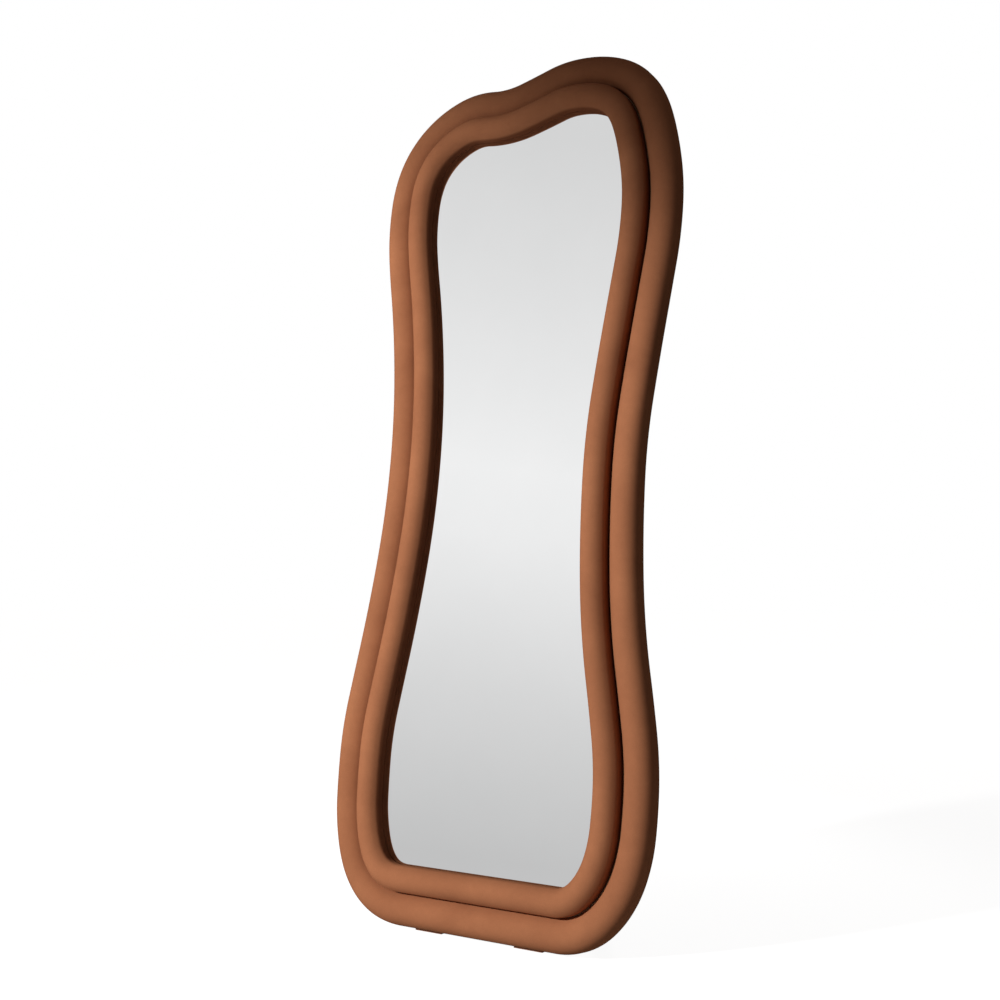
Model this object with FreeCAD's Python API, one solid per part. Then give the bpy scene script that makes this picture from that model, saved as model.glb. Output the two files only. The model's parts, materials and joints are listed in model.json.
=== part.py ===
import FreeCAD, Part
import math
import os
from FreeCAD import Vector

os.makedirs("parts", exist_ok=True)

# Floor mirror: wavy frame of two padded velvet beads, glass, and a fold-out leg behind.
# Built upright: X to the right, Y to the back, Z up the mirror, back face of the base ring at Y 0.
# Then leaned back and set on the floor. Lengths in millimetres, angles in degrees.

# Overall size and stance
MIRROR_H = 1700.0
MIRROR_W = 700.0
LEAN_DEG = 7.0
LEG_BACK_DEG = 6.5
PAD_H = 2.5

# Sight edge, round the open glass: share of its half width, share of its height, heading there
SIGHT_EDGE_SHARES = (
    (-0.723, 0.0000, 0),
    (0.723, 0.0000, 0),
    (0.836, 0.0075, 44),
    (0.954, 0.0396, 73),
    (1.000, 0.1107, 90),
    (0.894, 0.2425, 101),
    (0.762, 0.4977, 90),
    (0.890, 0.7144, 82),
    (0.976, 0.8478, 90),
    (0.894, 0.9388, 105),
    (0.812, 0.9734, 120),
    (0.701, 0.9904, 154),
    (0.421, 1.0000, 180),
    (0.195, 0.9930, 194),
    (0.026, 0.9865, 193),
    (-0.450, 0.9846, 170),
    (-0.724, 0.9740, 211),
    (-0.914, 0.9361, 252),
    (-0.951, 0.8870, 270),
    (-0.882, 0.7955, 281),
    (-0.722, 0.5392, 270),
    (-0.894, 0.2611, 260),
    (-1.000, 0.1291, 270),
    (-0.946, 0.0349, 286),
    (-0.859, 0.0079, 314),
)
# Width to height of the sight edge at which those headings were drawn
DRAWN_SLIM_SHARE = 0.3225

# Beads, measured inward from the outer edge and forward from the back face
OUTER_BEAD_W = 62.0
INNER_BEAD_W = 50.0
GROOVE_GAP = 0.9
OUTER_RISE = 27.0
INNER_SPRING_H = 33.5
INNER_RISE = 21.5
INNER_SHOULDER_R = 16.0

# Velvet covers
COVER_T = 1.2
COVER_BEND_R = 1.7
COVER_TURN_W = 22.0
REBATE_W = 24.0
REBATE_D = 1.9
SOFT_GAP = 0.9

# Boards
BASE_T = 15.0
POCKET_INSET = 98.0
OUTER_CORE_INSET = 11.0
OUTER_CORE_W = 36.0
OUTER_CORE_T = 15.0
INNER_CORE_INSET = 70.0
INNER_CORE_W = 34.0
INNER_CORE_T = 20.0
LIP_H = 20.4
PANEL_INSET = 16.0
PANEL_T = 4.0

# Glass and what holds it
GLASS_T = 5.0
GLASS_INSET = 100.0
FILM_T = 0.3
BACKING_INSET = 101.0
BLOCK_END = 47.0
BLOCK_L = 50.0

# Screws: shared clearance, cross recess, then each kind
SCREW_GAP = 0.1
RECESS_W = 1.0
RECESS_LENGTH_SHARE = 0.55
RECESS_DEPTH_SHARE = 0.55
HEAD_TOP_SHARE = 0.72
CORE_HEAD_R = 4.0
CORE_SHANK_R = 2.0
CORE_SCREW_L = 26.0
CORE_SCREW_COUNT = 14
PANEL_SCREW_INSET = 34.0
PANEL_HEAD_R = 4.0
PANEL_HEAD_H = 2.2
PANEL_SHANK_R = 1.75
PANEL_SCREW_L = 14.0
PANEL_SCREW_COUNT = 18
PANEL_SCREW_START_SHARE = 0.018
CORE_SCREW_START_SHARE = 0.054

# Staples
STAPLE_COUNT = 64
STAPLE_INSET = 13.0
STAPLE_CROWN = 10.0
STAPLE_WIRE = 0.6
STAPLE_WIDTH = 1.2
STAPLE_LEG = 5.0
STAPLE_SINK = 0.1

# Cross rail
RAIL_END = 14.0
RAIL_LOW = 45.0
RAIL_HIGH = 85.0
RAIL_T = 14.0
RAIL_CORNER_R = 12.0
RAIL_SCREW_INSET = 60.0
RAIL_SCREW_Z = 45.0
RAIL_SCREW_UP = 20.0
RAIL_HEAD_R = 4.5
RAIL_HEAD_H = 2.5
RAIL_SHANK_R = 2.25
RAIL_SCREW_L = 29.0

# Easel leg
PIVOT_Z = 1000.0
LEG_HALF_W = 90.0
TUBE_R = 8.0
TUBE_WALL = 1.5
TUBE_BEND_R = 45.0
HEEL_L = 60.0
CAP_WALL = 2.0
CAP_L = 18.0
CAP_END = 3.0
GRIP_GAP = 0.1
STOP_GAP = 0.3
SLEEVE_WALL = 3.0
SLEEVE_L = 32.0
SLEEVE_X = 24.0

# Hinge brackets, bolts, nuts and bushings
EAR_GAP = 0.5
EAR_T = 2.5
EAR_WALL = 8.0
BRACKET_T = 2.5
BRACKET_W = 54.0
BRACKET_H = 64.0
BRACKET_CORNER_R = 5.0
BRACKET_SCREW_X = 19.0
BRACKET_SCREW_Z = 22.0
BRACKET_HEAD_R = 3.6
BRACKET_HEAD_H = 2.2
BRACKET_SHANK_R = 1.9
BRACKET_SCREW_L = 14.0
BOLT_R = 3.0
BOLT_GAP = 0.1
BOLT_HEAD_RIM = 2.5
BOLT_HEAD_H = 3.5
BOLT_TAIL = 1.5
NUT_WALL = 2.0
NUT_H = 6.0
BUSHING_WALL = 0.9
BUSHING_GAP = 0.1
BUSHING_PROUD = 0.3

# Foot pads
PAD_END = 32.0
PAD_L = 60.0
PAD_Y0 = 1.5
PAD_W = 8.0
PAD_SCREW_X = 18.0
PAD_HEAD_R = 3.2
PAD_SHANK_R = 1.6
PAD_SCREW_L = 14.0
PAD_SCREW_SINK = 0.8

# D-rings and their plates
RING_INSET = 52.0
RING_DOWN = 315.0
RING_WIRE_R = 1.5
RING_R = 15.0
RING_BAR = 24.0
RING_GAP = 0.25
STRAP_W = 16.0
STRAP_H = 40.0
STRAP_T = 1.5
STRAP_CORNER_R = 4.0
STRAP_SCREW_LOW = 14.0
STRAP_SCREW_PITCH = 16.0
STRAP_HEAD_R = 3.0
STRAP_HEAD_H = 1.8
STRAP_SHANK_R = 1.6
STRAP_SCREW_L = 15.0

# Room added to a cutting tool so that it passes right through
CUT_OVER = 5.0

# Spots looked at when measuring the outline
SPOT_COUNT = 2000

# Sizes that follow
FRAME_W = OUTER_BEAD_W + INNER_BEAD_W
SIGHT_W = MIRROR_W - 2 * FRAME_W
SIGHT_H = MIRROR_H - 2 * FRAME_W
FLAT_HALF = SIGHT_EDGE_SHARES[1][0] * SIGHT_W / 2
OUTER_END = OUTER_BEAD_W - GROOVE_GAP / 2
INNER_START = OUTER_BEAD_W + GROOVE_GAP / 2
FLANGE_H = REBATE_D - COVER_T
GLASS_FRONT = LIP_H - COVER_T
GLASS_BACK = GLASS_FRONT - GLASS_T
FILM_BACK = GLASS_BACK - FILM_T
RAIL_Y = PANEL_T + RAIL_T
CAP_R = TUBE_R + CAP_WALL
SLEEVE_R = TUBE_R + SLEEVE_WALL
EAR_R = BOLT_R + EAR_WALL
BOLT_HEAD_R = BOLT_R + BOLT_HEAD_RIM
NUT_AF = 2 * (BOLT_R + NUT_WALL)
BUSHING_R = BOLT_R + BUSHING_GAP + BUSHING_WALL
OPEN_DEG = LEAN_DEG + LEG_BACK_DEG
OPEN = math.radians(OPEN_DEG)
LEAN = math.radians(LEAN_DEG)
HEEL_END = HEEL_L + CAP_END
PIVOT_Y = RAIL_Y + HEEL_END * math.sin(OPEN) + CAP_R * math.cos(OPEN) + STOP_GAP
PIVOT_UP = PIVOT_Z * math.cos(LEAN) - PIVOT_Y * math.sin(LEAN)
LEG_L = (PIVOT_UP + PAD_H - SLEEVE_R) / math.cos(math.radians(LEG_BACK_DEG))
EAR_IN = TUBE_R + EAR_GAP
EAR_OUT = EAR_IN + EAR_T
BARREL_R = RING_WIRE_R + RING_GAP + STRAP_T
RING_Y = PANEL_T + BARREL_R
RING_DROP = math.sqrt(RING_R ** 2 - (RING_BAR / 2) ** 2)


# Outline: the sight edge as a closed chain of tangent arcs and straight lines
def heading(deg):
    a = math.radians(deg)
    widen = SIGHT_W / (SIGHT_H * DRAWN_SLIM_SHARE)
    return Vector(math.cos(a) * widen, 0, math.sin(a)).normalize()


def left_of(t):
    return Vector(-t.z, 0, t.x)


def turned(v, angle):
    c = math.cos(angle)
    s = math.sin(angle)
    return Vector(v.x * c - v.z * s, 0, v.x * s + v.z * c)


def cross(a, b):
    return a.x * b.z - a.z * b.x


def piece(p, t, end):
    """An arc, or a line, that leaves p along t and arrives at end."""
    v = end - p
    side = cross(t, v)
    chord = v.Length
    if abs(side) < chord * 1e-6:
        return {"p": p, "t": t, "len": chord, "bend": 0.0, "sweep": 0.0}
    bend = 2 * side / chord ** 2
    sweep = 2 * math.atan2(side, t.dot(v))
    return {"p": p, "t": t, "len": sweep / bend, "bend": bend, "sweep": sweep}


def outline():
    nodes = []
    for sx, sz, deg in SIGHT_EDGE_SHARES:
        nodes.append((Vector(sx * SIGHT_W / 2, 0, FRAME_W + sz * SIGHT_H), heading(deg)))
    chain = []
    for i, (p1, t1) in enumerate(nodes):
        p2, t2 = nodes[(i + 1) % len(nodes)]
        v = p2 - p1
        along = v.dot(t1 + t2)
        turn = 1 - t1.dot(t2)
        if turn < 1e-9:
            if abs(cross(t1, v)) < v.Length * 1e-6:
                chain.append(piece(p1, t1, p2))
                continue
            reach = v.dot(v) / (2 * along)
        else:
            reach = (math.sqrt(along ** 2 + 2 * turn * v.dot(v)) - along) / (2 * turn)
        joint = (p1 + p2 + (t1 - t2) * reach) / 2
        first = piece(p1, t1, joint)
        chain.append(first)
        chain.append(piece(joint, turned(t1, first["sweep"]), p2))
    return chain


CHAIN = outline()
CHAIN_L = sum(s["len"] for s in CHAIN)


def at(share, inset):
    """Place and heading at a share of the chain's length, at an inset from the outer edge."""
    run = (share % 1.0) * CHAIN_L
    off = inset - FRAME_W
    for s in CHAIN:
        if run <= s["len"]:
            break
        run -= s["len"]
    if s["bend"] == 0:
        return s["p"] + s["t"] * run + left_of(s["t"]) * off, s["t"]
    c = s["p"] + left_of(s["t"]) / s["bend"]
    a = run * s["bend"]
    t = turned(s["t"], a)
    return c + turned(s["p"] - c, a) + left_of(t) * off, t


def narrowest(inset, low, high):
    """Least half width of the outline at an inset, between two heights."""
    spots = [at(k / SPOT_COUNT, inset)[0] for k in range(SPOT_COUNT)]
    return min(abs(p.x) for p in spots if low <= p.z <= high)


RAIL_SCREW_X = narrowest(RAIL_SCREW_INSET, PIVOT_Z - RAIL_LOW, PIVOT_Z + RAIL_HIGH)
RAIL_L = 2 * (RAIL_SCREW_X + RAIL_END)
RING_Z = MIRROR_H - RING_DOWN
RING_X = narrowest(RING_INSET, RING_Z, RING_Z + STRAP_H)
PAD_X = FLAT_HALF - PAD_END - PAD_L / 2
BLOCK_X = FLAT_HALF - BLOCK_END - BLOCK_L / 2


def ring_wire(inset, y):
    edges = []
    up = Vector(0, y, 0)
    for s in CHAIN:
        p = s["p"] + left_of(s["t"]) * (inset - FRAME_W)
        if s["bend"] == 0:
            edges.append(Part.makeLine(p + up, p + s["t"] * s["len"] + up))
            continue
        c = s["p"] + left_of(s["t"]) / s["bend"]
        m = c + turned(p - c, s["sweep"] / 2)
        e = c + turned(p - c, s["sweep"])
        edges.append(Part.Arc(p + up, m + up, e + up).toShape())
    return Part.Wire(edges)


def plate(inset, low, high):
    """Solid board of the outline, moved inward, between two heights above the back face."""
    face = Part.Face(ring_wire(inset, -low))
    return face.extrude(Vector(0, low - high, 0))


def board_ring(inset_out, inset_in, low, high):
    return plate(inset_out, low, high).cut(plate(inset_in, low - CUT_OVER, high + CUT_OVER))


def swept_ring(profile):
    """Closed solid swept round the outline from a closed section of (inset, height) edges."""
    faces = []
    for s in CHAIN:
        n = left_of(s["t"])

        def place(qh):
            return s["p"] + n * (qh[0] - FRAME_W) + Vector(0, -qh[1], 0)

        for edge in profile:
            if len(edge) == 2:
                shape = Part.makeLine(place(edge[0]), place(edge[1]))
            else:
                shape = Part.Arc(place(edge[0]), place(edge[1]), place(edge[2])).toShape()
            if s["bend"] == 0:
                faces.append(shape.extrude(s["t"] * s["len"]))
            else:
                c = s["p"] + n / s["bend"]
                faces.append(shape.revolve(c, Vector(0, -1, 0), math.degrees(s["sweep"])))
    skin = Part.makeCompound(faces)
    skin.sewShape()
    solid = Part.Solid(skin.Shells[0])
    if solid.Volume < 0:
        solid.reverse()
    return solid.removeSplitter()


# Sections
def dome(start, end, spring, rise, shoulder):
    """Three tangent arcs over the inner bead, from its outer to its inner side."""
    mid = (start + end) / 2
    reach = (end - start) / 2 - shoulder
    lift = rise - shoulder
    drop = (reach ** 2 - lift ** 2) / (2 * lift)
    size = math.hypot(reach, drop)
    ux = reach / size
    uz = drop / size
    bx = (1 + ux) / math.hypot(1 + ux, uz)
    bz = uz / math.hypot(1 + ux, uz)
    top = (mid, spring + rise)
    t1 = (mid - reach - shoulder * ux, spring + shoulder * uz)
    t2 = (mid + reach + shoulder * ux, spring + shoulder * uz)
    m1 = (mid - reach - shoulder * bx, spring + shoulder * bz)
    m2 = (mid + reach + shoulder * bx, spring + shoulder * bz)
    return [((start, spring), m1, t1), (t1, top, t2), (t2, m2, (end, spring))]


def bend(centre, r, q_side, h_side):
    """Middle of a quarter bend's arc."""
    half = r / math.sqrt(2)
    return (centre[0] + q_side * half, centre[1] + h_side * half)


def roll(d):
    """Two tangent arcs over the outer bead: a quarter round outside, a longer arc down to the groove."""
    crest = BASE_T + OUTER_RISE
    run = OUTER_END - OUTER_RISE
    fall_r = (run ** 2 + OUTER_RISE ** 2) / (2 * OUTER_RISE)
    low = crest - fall_r
    sweep = math.acos((BASE_T - low) / (fall_r - d))
    top = (OUTER_RISE, crest - d)
    rising = ((d, BASE_T), bend((OUTER_RISE, BASE_T), OUTER_RISE - d, -1, 1), top)

    def fall_at(a):
        return (OUTER_RISE + (fall_r - d) * math.sin(a), low + (fall_r - d) * math.cos(a))

    return [rising, (top, fall_at(sweep / 2), fall_at(sweep))]


def outer_cover_side(d):
    c = (COVER_BEND_R, FLANGE_H + COVER_BEND_R)
    flange = (COVER_BEND_R, FLANGE_H + d)
    wall = (d, FLANGE_H + COVER_BEND_R)
    side = [((COVER_TURN_W, FLANGE_H + d), flange)]
    side.append((flange, bend(c, COVER_BEND_R - d, -1, -1), wall))
    side.append((wall, (d, BASE_T)))
    return side + roll(d)


def inner_cover_side(d):
    c = (FRAME_W - COVER_BEND_R, GLASS_FRONT + COVER_BEND_R)
    wall = (FRAME_W - d, GLASS_FRONT + COVER_BEND_R)
    lip = (FRAME_W - COVER_BEND_R, GLASS_FRONT + d)
    side = [((INNER_START + d, BASE_T), (INNER_START + d, INNER_SPRING_H))]
    side += dome(INNER_START + d, FRAME_W - d, INNER_SPRING_H, INNER_RISE - d, INNER_SHOULDER_R - d)
    side.append(((FRAME_W - d, INNER_SPRING_H), wall))
    side.append((wall, bend(c, COVER_BEND_R - d, 1, -1), lip))
    side.append((lip, (POCKET_INSET + SOFT_GAP, GLASS_FRONT + d)))
    return side


def shell_section(side):
    out = side(0)
    back = [tuple(reversed(e)) for e in reversed(side(COVER_T))]
    return out + [(out[-1][-1], back[0][0])] + back + [(back[-1][-1], out[0][0])]


def polyline(points):
    return [(points[i], points[i + 1]) for i in range(len(points) - 1)]


def foam_section(curve, core_in, core_w, core_t):
    """Padding between a core board and the inside of its cover, down to the curve's two feet."""
    low = core_in - SOFT_GAP
    high = core_in + core_w + SOFT_GAP
    top = BASE_T + core_t
    start = curve[0][0]
    end = curve[-1][-1]
    rest = [end, (high, end[1]), (high, top), (low, top), (low, start[1]), start]
    return curve + polyline(rest)


# Screws
def rod(p, axis, r, length):
    return Part.makeCylinder(r, length, p, axis)


def cross_recess(p, axis, side, r, depth):
    """Cross-shaped recess sunk from p against the axis."""
    up = axis.cross(side)
    length = 2 * r * RECESS_LENGTH_SHARE
    bars = []
    for a, b in ((side, up), (up, side)):
        corner = p - a * (length / 2) - b * (RECESS_W / 2) - axis * depth
        wire = Part.makePolygon([corner, corner + a * length, corner + a * length + b * RECESS_W,
                                 corner + b * RECESS_W, corner])
        bars.append(Part.Face(wire).extrude(axis * (depth + CUT_OVER)))
    return bars[0].fuse(bars[1])


def any_side(axis):
    return Vector(1, 0, 0) if abs(axis.x) < 0.5 else Vector(0, 0, 1)


def pan_screw(p, axis, head_r, head_h, shank_r, length):
    """Screw whose head stands on the surface at p; axis points out of the surface."""
    head = Part.makeCone(head_r, head_r * HEAD_TOP_SHARE, head_h, p, axis)
    body = head.fuse(rod(p, axis * -1, shank_r, length))
    depth = head_h * RECESS_DEPTH_SHARE
    return body.cut(cross_recess(p + axis * head_h, axis, any_side(axis), head_r, depth))


def sunk_screw(p, axis, head_r, shank_r, length, grow, recess):
    """Countersunk screw flush at p, or its hole when grow is a clearance."""
    depth = head_r - shank_r
    head = Part.makeCone(head_r + grow, shank_r + grow, depth, p, axis * -1)
    body = head.fuse(rod(p, axis * -1, shank_r + grow, length + grow))
    if not recess:
        return body
    return body.cut(cross_recess(p, axis, any_side(axis), head_r, depth * RECESS_DEPTH_SHARE))


def through_hole(p, axis, shank_r, length):
    """Hole for a screw's shank, open at its mouth."""
    return rod(p + axis * CUT_OVER, axis * -1, shank_r + SCREW_GAP, length + CUT_OVER + SCREW_GAP)


def group(shapes):
    return Part.makeCompound(shapes)


BACK = Vector(0, 1, 0)
RIGHT = Vector(1, 0, 0)
DOWN = Vector(0, 0, -1)
ORIGIN = Vector(0, 0, 0)


def screw_places(inset, count, start, y):
    places = []
    for i in range(count):
        p, t = at(start + i / count, inset)
        places.append(p + Vector(0, y, 0))
    return places


outer_mid = OUTER_CORE_INSET + OUTER_CORE_W / 2
inner_mid = (INNER_CORE_INSET + POCKET_INSET) / 2
outer_core_at = screw_places(outer_mid, CORE_SCREW_COUNT, CORE_SCREW_START_SHARE, 0)
inner_core_at = screw_places(inner_mid, CORE_SCREW_COUNT, CORE_SCREW_START_SHARE, 0)
panel_at = screw_places(PANEL_SCREW_INSET, PANEL_SCREW_COUNT, PANEL_SCREW_START_SHARE, PANEL_T)
rail_at = []
for sx in (-1, 1):
    for sz in (-1, 1):
        up = RAIL_SCREW_UP + sz * RAIL_SCREW_Z
        rail_at.append(Vector(sx * RAIL_SCREW_X, RAIL_Y, PIVOT_Z + up))
strap_at = []
for sx in (-1, 1):
    for k in (0, 1):
        up = STRAP_SCREW_LOW + k * STRAP_SCREW_PITCH
        strap_at.append(Vector(sx * RING_X, PANEL_T + STRAP_T, RING_Z + up))
bracket_at = []
for sx in (-1, 1):
    for kx in (-1, 1):
        for kz in (-1, 1):
            bracket_at.append(Vector(sx * LEG_HALF_W + kx * BRACKET_SCREW_X, RAIL_Y + BRACKET_T,
                                     PIVOT_Z + kz * BRACKET_SCREW_Z))
pad_y = -(PAD_Y0 + PAD_W / 2)
pad_low = (pad_y * math.sin(LEAN) - PAD_H) / math.cos(LEAN)
pad_screw_at = []
for sx in (-1, 1):
    for kx in (-1, 1):
        pad_screw_at.append(Vector(sx * PAD_X + kx * PAD_SCREW_X, pad_y, pad_low + PAD_SCREW_SINK))


def holes(places, axis, shank_r, length):
    return [through_hole(p, axis, shank_r, length) for p in places]


core_holes = [sunk_screw(p, BACK, CORE_HEAD_R, CORE_SHANK_R, CORE_SCREW_L, SCREW_GAP, False)
              for p in outer_core_at + inner_core_at]
panel_holes = holes(panel_at, BACK, PANEL_SHANK_R, PANEL_SCREW_L)
rail_holes = holes(rail_at, BACK, RAIL_SHANK_R, RAIL_SCREW_L)
strap_holes = holes(strap_at, BACK, STRAP_SHANK_R, STRAP_SCREW_L)
bracket_holes = holes(bracket_at, BACK, BRACKET_SHANK_R, BRACKET_SCREW_L)
pad_holes = [rod(p, DOWN * -1, PAD_SHANK_R + SCREW_GAP, PAD_SCREW_L + SCREW_GAP) for p in pad_screw_at]

nodes = {}

# Boards
base = board_ring(COVER_T + SOFT_GAP, POCKET_INSET, 0, BASE_T)
base = base.cut(board_ring(0, REBATE_W, -CUT_OVER, REBATE_D))
nodes["base_ring"] = base.cut(core_holes + panel_holes + rail_holes + strap_holes + pad_holes)
outer_core = board_ring(OUTER_CORE_INSET, OUTER_CORE_INSET + OUTER_CORE_W, BASE_T, BASE_T + OUTER_CORE_T)
nodes["outer_core_ring"] = outer_core.cut(core_holes)
inner_core = board_ring(INNER_CORE_INSET, INNER_CORE_INSET + INNER_CORE_W, BASE_T, BASE_T + INNER_CORE_T)
inner_core = inner_core.cut(plate(POCKET_INSET, BASE_T - CUT_OVER, LIP_H))
nodes["inner_core_ring"] = inner_core.cut(core_holes)
panel = plate(PANEL_INSET, -PANEL_T, 0)
nodes["back_panel"] = panel.cut(panel_holes + rail_holes + strap_holes)

# Padding and covers
inset = COVER_T + SOFT_GAP
nodes["outer_foam"] = swept_ring(foam_section(roll(inset), OUTER_CORE_INSET, OUTER_CORE_W, OUTER_CORE_T))
inner_low = INNER_START + inset
inner_high = FRAME_W - inset
inner_curve = [((inner_low, BASE_T), (inner_low, INNER_SPRING_H))]
inner_curve += dome(inner_low, inner_high, INNER_SPRING_H, INNER_RISE - inset, INNER_SHOULDER_R - inset)
inner_curve.append(((inner_high, INNER_SPRING_H), (inner_high, LIP_H)))
nodes["inner_foam"] = swept_ring(foam_section(inner_curve, INNER_CORE_INSET, INNER_CORE_W, INNER_CORE_T))
outer_cover = swept_ring(shell_section(outer_cover_side))
nodes["outer_velvet_cover"] = outer_cover.cut(pad_holes)
nodes["inner_velvet_cover"] = swept_ring(shell_section(inner_cover_side))

# Glass pocket
nodes["mirror_glass"] = plate(GLASS_INSET, GLASS_BACK, GLASS_FRONT)
nodes["safety_film"] = plate(GLASS_INSET, FILM_BACK, GLASS_BACK)
nodes["backing_foam"] = plate(BACKING_INSET, 0, FILM_BACK)
blocks = []
for sx in (-1, 1):
    corner = Vector(sx * BLOCK_X - BLOCK_L / 2, -GLASS_FRONT, POCKET_INSET)
    blocks.append(Part.makeBox(BLOCK_L, GLASS_T, GLASS_INSET - POCKET_INSET, corner))
nodes["setting_blocks"] = group(blocks)

# Screws and staples of the frame
nodes["outer_core_screws"] = group([sunk_screw(p, BACK, CORE_HEAD_R, CORE_SHANK_R, CORE_SCREW_L, 0, True)
                                    for p in outer_core_at])
nodes["inner_core_screws"] = group([sunk_screw(p, BACK, CORE_HEAD_R, CORE_SHANK_R, CORE_SCREW_L, 0, True)
                                    for p in inner_core_at])
nodes["back_panel_screws"] = group([pan_screw(p, BACK, PANEL_HEAD_R, PANEL_HEAD_H,
                                              PANEL_SHANK_R, PANEL_SCREW_L)
                                    for p in panel_at])


def staple(p, t):
    """Wire staple, crown along t, legs towards the front."""
    n = left_of(t)
    a = p - t * (STAPLE_CROWN / 2) + Vector(0, -STAPLE_SINK, 0)
    deep = Vector(0, -STAPLE_WIRE - STAPLE_LEG, 0)
    thin = Vector(0, -STAPLE_WIRE, 0)
    b = a + t * STAPLE_CROWN
    points = [a, b, b + deep, b + deep - t * STAPLE_WIRE, b + thin - t * STAPLE_WIRE,
              a + thin + t * STAPLE_WIRE, a + deep + t * STAPLE_WIRE, a + deep, a]
    return Part.Face(Part.makePolygon(points)).extrude(n * STAPLE_WIDTH)


staples = []
for i in range(STAPLE_COUNT):
    p, t = at(i / STAPLE_COUNT, STAPLE_INSET)
    staples.append(staple(p, t))
nodes["cover_staples"] = group(staples)


# Cross rail and brackets
def round_plate(x0, x1, y0, y1, z0, z1, r):
    """Plate lying against the back, with rounded corners seen from behind."""
    box = Part.makeBox(x1 - x0, y1 - y0, z1 - z0, Vector(x0, y0, z0))
    edges = [e for e in box.Edges if abs(e.tangentAt(e.FirstParameter).y) > 0.9]
    return box.makeFillet(r, edges)


rail = round_plate(-RAIL_L / 2, RAIL_L / 2, PANEL_T, RAIL_Y,
                   PIVOT_Z - RAIL_LOW, PIVOT_Z + RAIL_HIGH, RAIL_CORNER_R)
nodes["cross_rail"] = rail.cut(rail_holes + bracket_holes)
nodes["rail_screws"] = group([pan_screw(p, BACK, RAIL_HEAD_R, RAIL_HEAD_H, RAIL_SHANK_R, RAIL_SCREW_L)
                              for p in rail_at])
nodes["bracket_screws"] = group([pan_screw(p, BACK, BRACKET_HEAD_R, BRACKET_HEAD_H,
                                           BRACKET_SHANK_R, BRACKET_SCREW_L)
                                 for p in bracket_at])


def bracket(x):
    y = RAIL_Y + BRACKET_T
    shape = round_plate(x - BRACKET_W / 2, x + BRACKET_W / 2, RAIL_Y, y,
                        PIVOT_Z - BRACKET_H / 2, PIVOT_Z + BRACKET_H / 2, BRACKET_CORNER_R)
    for low in (x - EAR_OUT, x + EAR_IN):
        arm = Part.makeBox(EAR_T, PIVOT_Y - RAIL_Y, 2 * EAR_R, Vector(low, RAIL_Y, PIVOT_Z - EAR_R))
        shape = shape.fuse(arm).fuse(rod(Vector(low, PIVOT_Y, PIVOT_Z), RIGHT, EAR_R, EAR_T))
    mouth = Vector(x - EAR_OUT - CUT_OVER, PIVOT_Y, PIVOT_Z)
    hole = rod(mouth, RIGHT, BOLT_R + BOLT_GAP, 2 * (EAR_OUT + CUT_OVER))
    return shape.cut([hole] + bracket_holes).removeSplitter()


def pivot_bolt(x):
    p = Vector(x - EAR_OUT, PIVOT_Y, PIVOT_Z)
    head = Part.makeCone(BOLT_HEAD_R, BOLT_HEAD_R * HEAD_TOP_SHARE, BOLT_HEAD_H, p, RIGHT * -1)
    shank = rod(p, RIGHT, BOLT_R, 2 * EAR_OUT + NUT_H + BOLT_TAIL)
    top = p - RIGHT * BOLT_HEAD_H
    recess = cross_recess(top, RIGHT * -1, any_side(RIGHT), BOLT_HEAD_R, BOLT_HEAD_H * RECESS_DEPTH_SHARE)
    return head.fuse(shank).cut(recess)


def pivot_nut(x):
    p = Vector(x + EAR_OUT, PIVOT_Y, PIVOT_Z)
    corner = NUT_AF / math.sqrt(3)
    points = []
    for k in range(7):
        a = math.radians(60 * k)
        points.append(p + Vector(0, corner * math.cos(a), corner * math.sin(a)))
    nut = Part.Face(Part.makePolygon(points)).extrude(RIGHT * NUT_H)
    return nut.cut(rod(p - RIGHT * CUT_OVER, RIGHT, BOLT_R + BOLT_GAP, NUT_H + 2 * CUT_OVER))


nodes["hinge_bracket_left"] = bracket(-LEG_HALF_W)
nodes["hinge_bracket_right"] = bracket(LEG_HALF_W)
nodes["pivot_bolts"] = group([pivot_bolt(-LEG_HALF_W), pivot_bolt(LEG_HALF_W)])
nodes["pivot_nuts"] = group([pivot_nut(-LEG_HALF_W), pivot_nut(LEG_HALF_W)])


# Easel leg, made hanging straight down from its pivot, then opened
def leg_core(r, over):
    """Solid round bar along the leg's U-shaped path."""
    bar_x = LEG_HALF_W - TUBE_BEND_R
    low = LEG_L - TUBE_BEND_R
    parts = []
    for sx in (-1, 1):
        parts.append(rod(Vector(sx * LEG_HALF_W, 0, HEEL_L + over), DOWN, r, HEEL_L + over + low))
        ring = Part.Face(Part.Wire(Part.makeCircle(r, Vector(sx * LEG_HALF_W, 0, -low), DOWN)))
        parts.append(ring.revolve(Vector(sx * bar_x, 0, -low), BACK, sx * 90))
    parts.append(rod(Vector(-bar_x, 0, -LEG_L), RIGHT, r, 2 * bar_x))
    return parts[0].fuse(parts[1:]).removeSplitter()


def opened(shape):
    shape.rotate(ORIGIN, RIGHT, OPEN_DEG)
    shape.translate(Vector(0, PIVOT_Y, PIVOT_Z))
    return shape


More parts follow.
